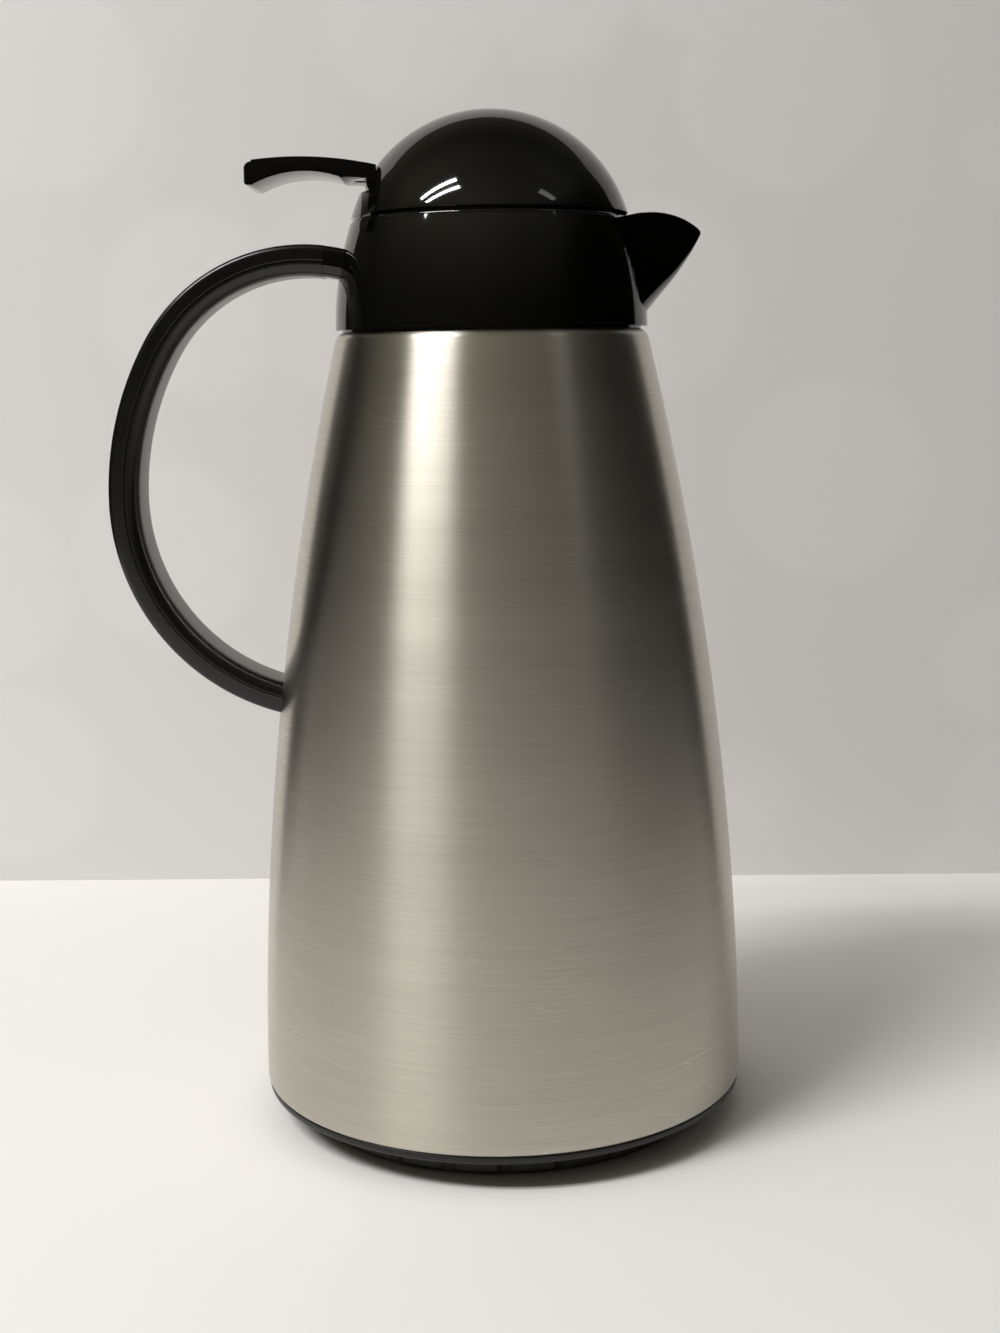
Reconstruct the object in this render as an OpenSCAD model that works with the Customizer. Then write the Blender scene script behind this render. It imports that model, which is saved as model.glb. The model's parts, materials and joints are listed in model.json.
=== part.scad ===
// Thermal carafe: a glass vacuum flask in a steel bell, with a screw-in
// stopper, a sprung flip lid with a thumb lever, a V spout and a hooped handle.
// The axis of the body is Z, the table is z = 0, the spout points to +X
// and the handle to -X. Millimetres.

/* [Steel shell] */
// Diameter that the bell reaches at the table
base_d = 142; // [136:1:150]
// Height of the rolled top edge above the table
shell_top_z = 228; // [222:1:236]
// Diameter of the bell at the height of its top edge
shell_top_d = 87.8; // [86.4:0.2:89]
// Height of the bell's lower edge above the table
shell_bottom_z = 10.9; // [10:0.1:13]
// Thickness of the sheet steel
sheet = 0.5; // [0.4:0.1:0.8]
// Outer radius of the roll at the top edge
shell_roll_r = 3; // [2.5:0.1:3.5]

/* [Base] */
// Height of the visible rim of the base ring
rim_h = 2.4; // [1.8:0.1:3]
// Distance of the base ring's bore inside the bell's radius at the table
ring_step = 8.6; // [7.6:0.1:9.2]
// Distance of the inset foot inside the bell's radius at the table
foot_step = 11; // [10:0.5:14]
// Number of finger flutes round the foot
flutes = 24; // [12:4:36]
// Thickness of the non-slip pad
pad_h = 1.6; // [1.2:0.1:2.4]

/* [Glass flask] */
// Radial gap from the outside of the shell to the outside of the glass
flask_inset = 11.5; // [10:0.5:13]
// Thickness of each glass wall
glass = 1.6; // [1.2:0.1:2]
// Vacuum gap between the two walls along the sides
vacuum_gap = 4.4; // [3.6:0.2:5]
// Height of the flask's bottom above the table
flask_bottom_z = 27; // [26:0.5:30]
// Distance of the flask's neck inside the shell's top edge
neck_step = 17.9; // [17.5:0.2:18.5]
// Vacuum gap between the walls in the neck
neck_gap = 1.3; // [1:0.1:1.6]

/* [Collar and spout] */
// Height of the collar above the shell's top edge
collar_h = 30.9; // [30:0.1:33]
// Outside radius at the collar's foot
collar_bottom_r = 44.2; // [43.6:0.1:45]
// Outside radius at the collar's lip, and of the dome's seam
collar_top_r = 38.9; // [38.6:0.1:39.4]
// Wall of the collar
collar_wall = 2.4; // [2:0.1:2.6]
// Reach of the spout's tip from the axis
spout_reach = 59.4; // [57:0.5:63]
// Half width of the spout where it leaves the collar
spout_half_w = 18.6; // [16:0.2:19.4]
// Wall of the spout
spout_wall = 2; // [1.6:0.1:2.4]

/* [Stopper] */
// Radius of the stopper's screw-in skirt
skirt_r = 27.9; // [27.5:0.1:28.3]
// Radial running clearance of the skirt in the collar's neck
screw_fit = 0.1; // [0.05:0.01:0.1]
// Bore radius of the pouring port
port_r = 16.5; // [14:0.5:17.5]
// Thickness of the flange
flange_t = 2.5; // [2:0.1:3]
// Thickness of the flange gasket
gasket_t = 2.5; // [2:0.1:3]

/* [Lid] */
// Outside radius of the dome
dome_r = 40.5; // [40:0.1:42]
// Wall of the dome
dome_wall = 2.2; // [1.8:0.1:2.4]
// Height of the seam gap under the dome
seam_gap = 0.6; // [0.4:0.1:0.9]
// Distance of the hinge pin behind the axis
pin_back = 29.5; // [29.2:0.1:29.8]
// Height of the hinge pin above the seam
pin_rise = 9.5; // [9.2:0.1:9.8]
// Radius of the hinge pin
pin_r = 1.5; // [1.2:0.1:1.6]
// Radial running clearance on the hinge pin
pin_fit = 0.05; // [0.02:0.01:0.1]
// Reach of the lever's tip from the axis
lever_reach = 68.7; // [64:0.1:70]
// Half width of the lever at its thumb pad
lever_pad_half_w = 12.6; // [12:0.1:14]
// Wire of the closing spring
wire_d = 0.8; // [0.6:0.1:0.8]
// Coils of the closing spring
coils = 4; // [3:1:4]

/* [Handle] */
// Reach of the handle's outer face from the axis
handle_reach = 109.5; // [104:0.5:114]
// Width of the handle
handle_w = 20; // [17:0.5:22]
// Thickness of the outer half, from its back to the joint line
handle_outer_t = 4.4; // [3.8:0.1:5]
// Thickness of the inner half, from the joint line to its grip face
handle_inner_t = 4.2; // [3.6:0.1:5]
// Radius of the outer face in the lower sweep
handle_low_r = 63.5; // [62:0.5:65]
// Radius of the outer face up the side
handle_side_r = 90; // [86:1:94]
// Radius of the outer face over the top, for arc centres at round numbers
handle_top_r = 51.898; // [48:0.001:54]
// Angle of the side sweep above the handle's widest point
handle_side_angle = 30; // [28:0.5:34]
// Height of the handle's crest above the shell's top edge
handle_crest = 24.4; // [23.5:0.1:25.5]

/* [Hidden] */

$fn = 96;
eps = 0.01;
fine_fn = 720;

// The bell: one great arc, upright at the table and centred on its level
base_r = base_d / 2;
bell_drop = base_r - shell_top_d / 2;
bell_r = (pow(shell_top_z, 2) + pow(bell_drop, 2)) / (2 * bell_drop);
bell_x = base_r - bell_r;
function bell_at(z, inset) = bell_x + sqrt(pow(bell_r - inset, 2) - z * z);
function roll_x(z, r, inset) = bell_x + sqrt(pow(bell_r - inset - r, 2) - z * z);
hole_step = 5.4;
shell_hole_r = shell_top_d / 2 - hole_step;
hem_w = 1.9;

// Base
ring_top_z = shell_bottom_z;
rim_z = ring_top_z - rim_h;
rim_r = base_r - 0.5;
ring_bore_r = base_r - ring_step;
foot_r = base_r - foot_step;
rim_round = 0.8;
ring_wall = 2.5;
ring_sleeve_h = 13;
locating_wall = 2;
locating_h = 7;
thread_gap = 0.2;
cap_r = ring_bore_r - thread_gap;
cap_wall = 2.6;
cap_top_z = rim_z + 11;
cap_floor_z = 0.8;
cap_floor_t = 2.4;
foot_wall = 2.8;
flute_r = 3;
pad_r = foot_r - 2.6;
hub_r = 24;
hub_wall = 2.4;
cushion_floor = 2;
cushion_lip = 2.6;
hub_top_z = flask_bottom_z - cushion_floor;
rib_t = 1.8;
ribs = 8;

// Glass flask
flask_foot_r = 20;
neck_r = shell_top_d / 2 - neck_step;
neck_top_z = shell_top_z - 2;
shoulder_z = neck_top_z - 24;
shoulder_in = 1.8;
// Round of the shoulder that touches the wall and ends level, just inside the neck
shoulder_wall_r = bell_r - flask_inset;
flask_shoulder_r = (pow(shoulder_wall_r, 2) - pow(shoulder_z, 2) - pow(neck_r - shoulder_in - bell_x, 2))
    / (2 * (shoulder_wall_r - shoulder_z));
neck_fillet = 4;
inner_inset = flask_inset + glass + vacuum_gap;
inner_bottom_z = flask_bottom_z + glass + vacuum_gap;
inner_neck_r = neck_r - glass - neck_gap;
inner_shoulder_z = shoulder_z - glass - 2.4;
mouth_r = inner_neck_r - glass;
tip_r = 4;
tip_drop = 6;
spacer_r = 6;
spacer_z = 84;
spacers = 3;

// Neck, collar and clamp
seat_z = shell_top_z + 0.4;
gasket_lip_h = 5;
gasket_lip_t = 1.6;
collar_z = shell_top_z;
collar_top_z = collar_z + collar_h;
collar_drop = collar_bottom_r - collar_top_r;
collar_bow_r = (pow(collar_h, 2) + pow(collar_drop, 2)) / (2 * collar_drop);
function collar_at(z, inset) =
    collar_bottom_r - collar_bow_r + sqrt(pow(collar_bow_r - inset, 2) - pow(z - collar_z, 2));
collar_lip_round = 1;
shadow_h = 0.6;
shadow_w = 1.8;
shelf_z = collar_z + 10;
shelf_t = 3;
shelf_top_z = shelf_z + shelf_t;
neck_bore_r = skirt_r + screw_fit;
collar_neck_wall = 2.6;
seat_t = 2;
seat_bore_r = mouth_r + 2.2;
skirt_hang = 12;
clamp_skirt_r = shell_hole_r - 0.4;
clamp_skirt_wall = 2.5;
clamp_gap = 0.1;
clamp_w = 2.9;
clamp_h = 7;
clamp_slots = 6;
mouth_bore_r = collar_at(collar_top_z, collar_wall);

// Spout
spout_x = 38;
spout_c_z = collar_z + 14.2;
spout_tip_z = collar_z + 26.2;
spout_lip_r = 1.4;
spout_waist_x = 47;
spout_rim_z = collar_top_z + 0.7;
spout_fn = 32;

// Seam and stopper
seam_z = collar_top_z + seam_gap;
flange_z = shelf_top_z + gasket_t;
flange_r = mouth_bore_r - 0.3;
skirt_wall = 2.8;
skirt_drop = 11;
port_wall = 2;
port_lip_z = seam_z - 6;
port_drop = 5;

// Dome and lid
dome_c_z = seam_z - sqrt(pow(dome_r, 2) - pow(collar_top_r, 2));
lid_gap = 0.3;
lip_r = mouth_bore_r - lid_gap;
lip_wall = 1.4;
lip_z = seam_z - 1.8;
lip_top_z = seam_z + 2.6;
pin_x = -pin_back;
pin_z = seam_z + pin_rise;
cut_x = pin_x - 1.1;
skin = 1.55;
sill_z = seam_z + 6.5;
housing_wall = 2;
housing_ledge_t = 1.4;
housing_front_x = cut_x - lid_gap;
hinge_r = 3.2;
hinge_room = 0.4;
ear_in = 3;
ear_t = 2.5;
ear_back_x = pin_x - 2;
ear_front_x = pin_x + 3.2;
ear_foot_x = pin_x + 5;
web_x = pin_x + 3;
hub_in = ear_in + ear_t + lid_gap;
hub_out = 8;
pin_half = hub_out - 0.1;
plate_z = seam_z - 1.4;
plate_t = 2;
plate_r = lip_r - lip_wall - 0.1;
plate_cut_x = pin_x + 6.6;
plate_cut_half = hub_out + 1;
ear_foot_z = plate_z + 0.4;

// Lever
lever_root_z = pin_z + 0.5;
lever_bend_z = pin_z + 1.1;
lever_bend_x = pin_x - 13;
lever_crown_x = pin_x - 22;
lever_crown_z = pin_z + 6.4;
lever_top_r = 95;
lever_tip_z = pin_z - 1.4;
lever_hollow_r = 32;
lever_hollow_x = pin_x - 21.3;
lever_hollow_z = pin_z + 2.5;
lever_root_half_w = 12.2;
lever_tip_round = 2.6;
lever_corner_r = 3;
heel_out = 10;
heel_gap = 0.35;
tongue_z = plate_z + plate_t + 1.6;
tongue_t = 2.6;
tongue_end_x = pin_x + 21;
tongue_back_x = pin_x + 4.4;
dimple_r = 2.6;
dimple_x = pin_x - 5.8;
dimple_depth = 1.2;
// Radius about the pin that the heel may have at a side distance y
function heel_r(y) = norm([
    sqrt(pow(dome_r - skin, 2) - pow(sill_z - dome_c_z, 2) - y * y) + pin_x,
    pin_z - sill_z]) - heel_gap;

// Plug
plug_r = port_r + 3.4;
plug_t = 2.2;
seal_t = 1.4;
seal_over = 0.3;
seal_z = port_lip_z + seal_over;
plug_z = seal_z + seal_t;
nose_r = port_r - 2.6;
nose_drop = 2.8;
plug_core_r = nose_r + 0.9;
stem_r = 7;

// Fasteners
screw_r = 1.5;
screw_head_r = 2.9;
screw_head_h = 1.8;
lever_screw_x = pin_x + 14;
lever_screw_y = 5;

// Handle, from the sweep's radii
handle_crest_z = shell_top_z + handle_crest;
side_rise = (handle_side_r - handle_top_r) * sin(handle_side_angle);
side_run = (handle_side_r - handle_top_r) * cos(handle_side_angle);
handle_mid_z = handle_crest_z - handle_top_r - side_rise;
low_c = [-handle_reach + handle_low_r, handle_mid_z];
side_c = [-handle_reach + handle_side_r, handle_mid_z];
top_c = [side_c[0] - side_run, handle_mid_z + side_rise];
low_end = 264;
top_end = 70;
handle_round = 1.5;
grip_round = 3.6;
tongue_w = 9;
tongue_d = 1.6;
tongue_gap = 0.1;
handle_seat_gap = 0.05;
boss_w = handle_w - 3;
boss_bottom_z = handle_crest_z - 10.8;
boss_top_z = handle_crest_z - 0.9;
boss_x = -collar_bottom_r - 1.6;
boss_flare = 2.2;
boss_side_x = collar_at(boss_top_z, 0);
low_screw_z = handle_mid_z - handle_low_r + 9;
low_screw_tilt = asin(low_screw_z / bell_r);
low_screw_x = bell_at(low_screw_z, sheet);
top_screw_z = handle_crest_z - 7;
top_screw_x = collar_at(top_screw_z, collar_wall) + 0.6;
handle_screw_reach = 8;

// Closing spring
spring_air = 0.45;
ring_steps = 8;
wire_sides = 6;
leg_front = 9;
leg_down = 14;
spring_turns = coils - 0.25;
spring_r = pin_r + 0.5 + wire_d / 2;
spring_half = spring_turns * (wire_d + spring_air) / 2;
leg_pad_x = pin_x + leg_front - 2.6;
leg_pad_top_z = pin_z - spring_r - wire_d / 2 - 0.05;

// Colours
steel = [0.72, 0.70, 0.66];
black = [0.06, 0.06, 0.06];
satin_black = [0.1, 0.1, 0.1];
rubber = [0.16, 0.16, 0.17];
silicone = [0.78, 0.77, 0.74];
silver = [0.82, 0.83, 0.85];
bright = [0.6, 0.6, 0.62];
natural = [0.86, 0.85, 0.8];

// ---------- shared outlines ----------

// Filled half section of a bell with a rolled top and bottom corner
module bell_2d(inset, z0, z1, foot, roll) {
    r = bell_r - inset;
    foot_x = roll_x(z0 + foot, foot, inset);
    top_x = roll_x(z1 - roll, roll, inset);
    foot_t = r * (z0 + foot) / (r - foot);
    top_t = r * (z1 - roll) / (r - roll);
    intersection() {
        translate([bell_x, 0])
            circle(r = r, $fn = fine_fn);
        translate([0, foot_t])
            square([base_r, top_t - foot_t]);
    }
    intersection() {
        translate([foot_x, z0 + foot])
            circle(r = foot);
        translate([0, z0])
            square([base_r, foot_t - z0 + eps]);
    }
    intersection() {
        translate([top_x, z1 - roll])
            circle(r = roll);
        translate([0, top_t - eps])
            square([base_r, z1 - top_t + eps]);
    }
    translate([0, z0])
        square([foot_x, foot_t - z0 + eps]);
    translate([0, top_t - eps])
        square([top_x, z1 - top_t + eps]);
}

// Filled half section of one wall of the flask, with its neck
module flask_2d(inset, z0, shoulder, neck, foot, roll) {
    bell_2d(inset, z0, shoulder, foot, roll);
    translate([0, z0 + foot])
        square([neck, neck_top_z - z0 - foot]);
    difference() {
        translate([0, shoulder - eps])
            square([neck + neck_fillet, neck_fillet]);
        translate([neck + neck_fillet, shoulder + neck_fillet])
            circle(r = neck_fillet);
    }
}

// Filled half section of the collar's bow between two heights
module bow_2d(inset, z0, z1) {
    intersection() {
        translate([collar_bottom_r - collar_bow_r, collar_z])
            circle(r = collar_bow_r - inset, $fn = fine_fn);
        translate([0, z0])
            square([collar_bottom_r, z1 - z0]);
    }
}

// Cutter that rounds an outer corner: the corner is at the origin, its
// faces run along -X and -Y
module corner_cut(r) {
    difference() {
        translate([-r, -r])
            square([r + 1, r + 1]);
        translate([-r, -r])
            circle(r = r);
    }
}

module tube(r_in, r_out, z0, z1) {
    translate([0, 0, z0])
        difference() {
            cylinder(r = r_out, h = z1 - z0);
            translate([0, 0, -1])
                cylinder(r = r_in, h = z1 - z0 + 2);
        }
}

// ---------- body ----------

module outer_shell() {
    color(steel)
        difference() {
            rotate_extrude()
                difference() {
                    bell_2d(0, shell_bottom_z, shell_top_z, 0.8, shell_roll_r);
                    bell_2d(sheet, shell_bottom_z + sheet, shell_top_z - sheet, 0.5, shell_roll_r - sheet);
                    square([shell_hole_r, shell_top_z + 1]);
                    square([base_r - hem_w, shell_bottom_z + sheet + eps]);
                }
            low_screw_place(2)
                cylinder(r = screw_r + 0.3, h = 5);
        }
}

module base_ring() {
    color(black)
        rotate_extrude()
            difference() {
                union() {
                    translate([ring_bore_r, rim_z])
                        square([rim_r - ring_bore_r, rim_h]);
                    translate([ring_bore_r, rim_z])
                        square([ring_wall, ring_sleeve_h]);
                    translate([base_r - hem_w - locating_wall - 0.2, rim_z])
                        square([locating_wall, rim_h + locating_h]);
                }
                translate([rim_r, ring_top_z])
                    corner_cut(rim_round);
                translate([rim_r, rim_z])
                    mirror([0, 1])
                        corner_cut(rim_round);
            }
}

module base_cap() {
    color(black)
        difference() {
            union() {
                rotate_extrude() {
                    // Floor and foot wall
                    translate([0, cap_floor_z])
                        square([foot_r - 1.2, cap_floor_t]);
                    translate([foot_r - foot_wall, cap_floor_z + 1.2])
                        square([foot_wall, rim_z - cap_floor_z]);
                    translate([foot_r - 1.2, cap_floor_z + 1.2])
                        circle(r = 1.2);
                    // Step out to the screw wall
                    translate([foot_r - foot_wall, rim_z - 0.2])
                        square([cap_r - foot_r + foot_wall, 2.2]);
                    translate([cap_r - cap_wall, rim_z - 0.2])
                        square([cap_wall, cap_top_z - rim_z + 0.2]);
                    // Hub that carries the cushion
                    translate([hub_r - hub_wall, cap_floor_z])
                        square([hub_wall, hub_top_z - cap_floor_z]);
                    translate([hub_r - hub_wall - 6, hub_top_z - 2])
                        square([6 + hub_wall, 2]);
                }
                // Ribs from the hub to the screw wall
                for (i = [0 : ribs - 1])
                    rotate([0, 0, i * 360 / ribs])
                        translate([hub_r - 1, -rib_t / 2, cap_floor_z + 1])
                            cube([foot_r - foot_wall - hub_r + 2, rib_t, rim_z + 3 - cap_floor_z]);
            }
            // Seat of the pad
            translate([0, 0, -1])
                cylinder(r = pad_r + 0.1, h = pad_h + 1);
            // Finger flutes
            for (i = [0 : flutes - 1])
                rotate([0, 0, i * 360 / flutes])
                    translate([foot_r + flute_r - 0.9, 0, -1])
                        cylinder(r = flute_r, h = rim_z + 0.4);
        }
}

module foot_pad() {
    color(rubber)
        rotate_extrude()
            difference() {
                square([pad_r, pad_h]);
                translate([pad_r, 0])
                    mirror([0, 1])
                        corner_cut(0.6);
                for (r = [pad_r - 6, pad_r - 12])
                    translate([r, -1])
                        square([1.6, 1.6]);
            }
}

// ---------- flask ----------

module liner_outer_wall() {
    color(silver)
        rotate_extrude()
            difference() {
                union() {
                    flask_2d(flask_inset, flask_bottom_z, shoulder_z, neck_r, flask_foot_r,
                        flask_shoulder_r);
                    // Pumped-off tip
                    translate([0, flask_bottom_z - tip_drop + tip_r])
                        intersection() {
                            circle(r = tip_r);
                            translate([0, -tip_r])
                                square([tip_r, 2 * tip_r]);
                        }
                    translate([0, flask_bottom_z - tip_drop + tip_r])
                        square([tip_r, tip_drop]);
                }
                flask_2d(flask_inset + glass, flask_bottom_z + glass, shoulder_z - glass,
                    neck_r - glass, flask_foot_r - glass, flask_shoulder_r - glass);
                translate([0, neck_top_z - eps])
                    square([neck_r, 1]);
            }
}

module liner_inner_wall() {
    color(silver)
        rotate_extrude()
            difference() {
                union() {
                    flask_2d(inner_inset, inner_bottom_z, inner_shoulder_z, inner_neck_r,
                        flask_foot_r - glass, flask_shoulder_r - glass);
                    // Lip that closes the neck between the walls
                    translate([0, neck_top_z - glass])
                        square([neck_r - glass, glass]);
                }
                flask_2d(inner_inset + glass, inner_bottom_z + glass, inner_shoulder_z - glass,
                    mouth_r, flask_foot_r - 2 * glass, flask_shoulder_r - 2 * glass);
                translate([0, neck_top_z - glass - eps])
                    square([mouth_r, glass + 1]);
            }
}

module liner_spacers() {
    color(natural)
        intersection() {
            for (i = [0 : spacers - 1])
                rotate([0, 0, 60 + i * 360 / spacers])
                    translate([inner_neck_r, 0, spacer_z])
                        rotate([0, 90, 0])
                            cylinder(r = spacer_r, h = base_r - inner_neck_r);
            rotate_extrude()
                difference() {
                    bell_2d(flask_inset + glass, flask_bottom_z + glass, shoulder_z - glass,
                        flask_foot_r - glass, flask_shoulder_r - glass);
                    bell_2d(inner_inset, inner_bottom_z, inner_shoulder_z, flask_foot_r - glass,
                        flask_shoulder_r - glass);
                }
        }
}

module liner_cushion() {
    color(rubber)
        rotate_extrude()
            difference() {
                translate([hub_r - hub_wall - 6, hub_top_z])
                    square([14, cushion_floor + 6]);
                bell_2d(flask_inset, flask_bottom_z, shoulder_z, flask_foot_r, flask_shoulder_r);
                translate([0, hub_top_z + cushion_floor + 3])
                    square([base_r, 10]);
                translate([hub_r + cushion_lip + 2, hub_top_z + 5])
                    corner_cut(2);
            }
}

module neck_gasket() {
    color(rubber)
        rotate_extrude() {
            translate([mouth_r + 0.4, neck_top_z])
                square([neck_r + gasket_lip_t - mouth_r - 0.4, seat_z - neck_top_z]);
            translate([neck_r, neck_top_z - gasket_lip_h])
                square([gasket_lip_t, gasket_lip_h + eps]);
        }
}

module clamp_ring() {
    r_in = clamp_skirt_r + clamp_gap;
    top = shell_top_z - sheet;
    color(satin_black)
        difference() {
            tube(r_in, r_in + clamp_w, top - clamp_h, top);
            for (i = [0 : clamp_slots - 1])
                rotate([0, 0, i * 360 / clamp_slots])
                    translate([r_in - 1, -2, top - clamp_h - 1])
                        cube([clamp_w + 2, 4, 3.5]);
        }
}

// ---------- collar ----------

module spout_section(x, half_w, c_z, top_z) {
    translate([x, 0, 0])
        rotate([90, 0, 90])
            linear_extrude(height = 0.4)
                intersection() {
                    union() {
                        translate([0, c_z])
                            circle(r = half_w, $fn = spout_fn);
                        translate([-half_w, c_z])
                            square([2 * half_w, top_z - c_z]);
                    }
                    translate([-half_w - 1, c_z - half_w - 1])
                        square([2 * half_w + 2, top_z - c_z + half_w + 1]);
                }
}

// The beak: three sections drawn together, from the collar to the tip
module spout_form(cut, top_up) {
    share = (spout_reach + 1.5 - spout_waist_x) / (spout_reach + 1.5 - spout_x);
    waist_w = spout_half_w * share;
    waist_z = spout_tip_z + 2 - (spout_tip_z + 2 - spout_c_z) * share;
    hull() {
        spout_section(spout_x, spout_half_w - cut, spout_c_z, collar_top_z + top_up);
        spout_section(spout_waist_x, waist_w - cut, waist_z, spout_rim_z + top_up);
        translate([spout_reach - spout_lip_r - cut, 0, spout_tip_z - spout_lip_r])
            cylinder(r = spout_lip_r, h = top_up + 2 * spout_lip_r, $fn = spout_fn);
    }
}

// Concave flare from a face along +X into an upright wall at the origin
module flare(r) {
    difference() {
        translate([-r, -eps])
            square([r + 1, r + eps]);
        translate([-r, r])
            circle(r = r);
    }
}

// Seat of the handle's upper end, flared into the collar all round
module handle_boss() {
    half = boss_w / 2;
    side_end = sqrt(pow(boss_side_x, 2) - pow(half + boss_flare, 2));
    intersection() {
        rotate_extrude()
            difference() {
                union() {
                    translate([0, boss_bottom_z])
                        square([2 - boss_x, boss_top_z - boss_bottom_z]);
                    translate([boss_side_x, boss_top_z])
                        mirror([1, 0])
                            flare(boss_flare);
                    translate([collar_at(boss_bottom_z, 0), boss_bottom_z])
                        mirror([0, 1])
                            mirror([1, 0])
                                flare(boss_flare);
                }
                bow_2d(collar_wall / 2, collar_z, collar_top_z);
            }
        translate([0, 0, collar_z])
            linear_extrude(height = collar_h)
                union() {
                    translate([boss_x, -half])
                        square([collar_bottom_r / 2, boss_w]);
                    for (s = [0, 1])
                        mirror([0, s])
                            translate([-side_end, half])
                                flare(boss_flare);
                }
    }
}

module collar() {
    color(black)
        difference() {
            union() {
                rotate_extrude()
                    difference() {
                        union() {
                            difference() {
                                bow_2d(0, collar_z, collar_top_z);
                                bow_2d(collar_wall, collar_z - 1, shelf_z);
                                bow_2d(collar_wall, shelf_top_z, collar_top_z + 1);
                            }
                            // Neck that the stopper screws into, with the gasket's seat
                            translate([0, seat_z])
                                square([neck_bore_r + collar_neck_wall, shelf_z - seat_z + eps]);
                            // Clamp skirt below the shell's edge, and the floor that rests on it
                            translate([clamp_skirt_r - clamp_skirt_wall, shell_top_z - skirt_hang])
                                square([clamp_skirt_wall, skirt_hang + 3]);
                            translate([clamp_skirt_r - clamp_skirt_wall, collar_z])
                                square([collar_bottom_r - shadow_w - clamp_skirt_r + clamp_skirt_wall, 2]);
                        }
                        translate([0, seat_z + seat_t])
                            square([neck_bore_r, collar_h]);
                        square([seat_bore_r, collar_top_z]);
                        translate([collar_top_r, collar_top_z])
                            corner_cut(collar_lip_round);
                        translate([collar_bottom_r - shadow_w, collar_z - 1])
                            square([shadow_w + 1, shadow_h + 1]);
                    }
                difference() {
                    spout_form(0, 0);
                    translate([0, 0, collar_z])
                        cylinder(r = collar_at(collar_z + 12, collar_wall), h = collar_h + 5);
                    cylinder(r = spout_reach, h = collar_z + 1.5);
                }
                handle_boss();
            }
            // Channel of the spout, open at its top and into the collar
            difference() {
                spout_form(spout_wall, 8);
                translate([0, 0, collar_z - 1])
                    cylinder(r = neck_bore_r + collar_neck_wall, h = collar_h + 20);
                cylinder(r = spout_reach, h = shelf_top_z);
            }
            // Room for the dome's edge
            translate([0, 0, collar_top_z])
                cylinder(r = collar_top_r + lid_gap, h = 10);
            top_screw_place(0) {
                cylinder(r = screw_r + 0.3, h = 20, center = true);
                translate([0, 0, -10])
                    cylinder(r = screw_head_r + 0.4, h = 10);
            }
        }
}

// ---------- handle ----------

// One arc of the handle: the section's x is measured out from the arc's centre
module sweep(c, r, a0, a1) {
    translate([c[0], 0, c[1]])
        rotate([90, 0, 0])
            rotate_extrude(angle = a1 - a0, start = a0)
                translate([r, 0])
                    children();
}

module handle_sweep() {
    sweep(low_c, handle_low_r, 180, low_end)
        children();
    sweep(side_c, handle_side_r, 180 - handle_side_angle, 180)
        children();
    sweep(top_c, handle_top_r, top_end, 180 - handle_side_angle)
        children();
}

// Outer half: flat back, small corners, groove for the inner half
module handle_outer_2d() {
    half = handle_w / 2;
    difference() {
        translate([-handle_outer_t, -half])
            square([handle_outer_t, handle_w]);
        for (s = [0, 1])
            mirror([0, s])
                translate([0, half])
                    corner_cut(handle_round);
        translate([-handle_outer_t - 1, -tongue_w / 2])
            square([1 + tongue_d + tongue_gap, tongue_w]);
    }
}

// Inner half: well rounded grip face and a tongue for the groove
module handle_inner_2d() {
    half = handle_w / 2 - 0.25;
    difference() {
        translate([-handle_outer_t - handle_inner_t, -half])
            square([handle_inner_t, 2 * half]);
        for (s = [0, 1])
            mirror([0, s])
                translate([-handle_outer_t - handle_inner_t, half])
                    mirror([1, 0])
                        corner_cut(grip_round);
    }
    translate([-handle_outer_t - eps, -tongue_w / 2 + tongue_gap])
        square([tongue_d + eps, tongue_w - 2 * tongue_gap]);
}

// What the handle's ends are trimmed to
module handle_trim() {
    rotate_extrude()
        bell_2d(-handle_seat_gap, shell_bottom_z, shell_top_z, 0.8, shell_roll_r);
    translate([boss_x - handle_seat_gap, -handle_w, collar_z - 10])
        cube([2 * collar_bottom_r, 2 * handle_w, 2 * collar_h]);
}

// Axis of each handle screw: it starts where the head bears and runs outward
module top_screw_place(back) {
    translate([-top_screw_x + back, 0, top_screw_z])
        rotate([0, -90, 0])
            children();
}

module low_screw_place(back) {
    translate([-low_screw_x, 0, low_screw_z])
        rotate([0, low_screw_tilt - 90, 0])
            translate([0, 0, -back])
                children();
}

module handle_half() {
    color(satin_black)
        difference() {
            handle_sweep()
                children();
            handle_trim();
            top_screw_place(0)
                cylinder(r = screw_r, h = handle_screw_reach + 4);
            low_screw_place(0)
                cylinder(r = screw_r, h = handle_screw_reach);
        }
}

module handle_outer() {
    handle_half()
        handle_outer_2d();
}

module handle_inner() {
    handle_half()
        handle_inner_2d();
}

// Pan head screw: its head bears at z = 0 and its shank runs up
module pan_screw(length) {
    translate([0, 0, -eps])
        cylinder(r = screw_r, h = length + eps);
    translate([0, 0, -screw_head_h])
        difference() {
            cylinder(r = screw_head_r, h = screw_head_h);
            for (a = [0, 90])
                rotate([0, 0, a])
                    translate([-0.4, -1.8, -1])
                        cube([0.8, 3.6, 1.9]);
        }
}

module handle_screws() {
    color(bright) {
        top_screw_place(0.02)
            pan_screw(handle_screw_reach + 3);
        low_screw_place(0.1)
            pan_screw(handle_screw_reach - 1);
    }
}

// ---------- stopper ----------

// Filled half section of the ball between two heights
module ball_2d(inset, z0, z1) {
    intersection() {
        translate([0, dome_c_z])
            circle(r = dome_r - inset);
        translate([0, z0])
            square([dome_r, z1 - z0]);
    }
}

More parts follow.
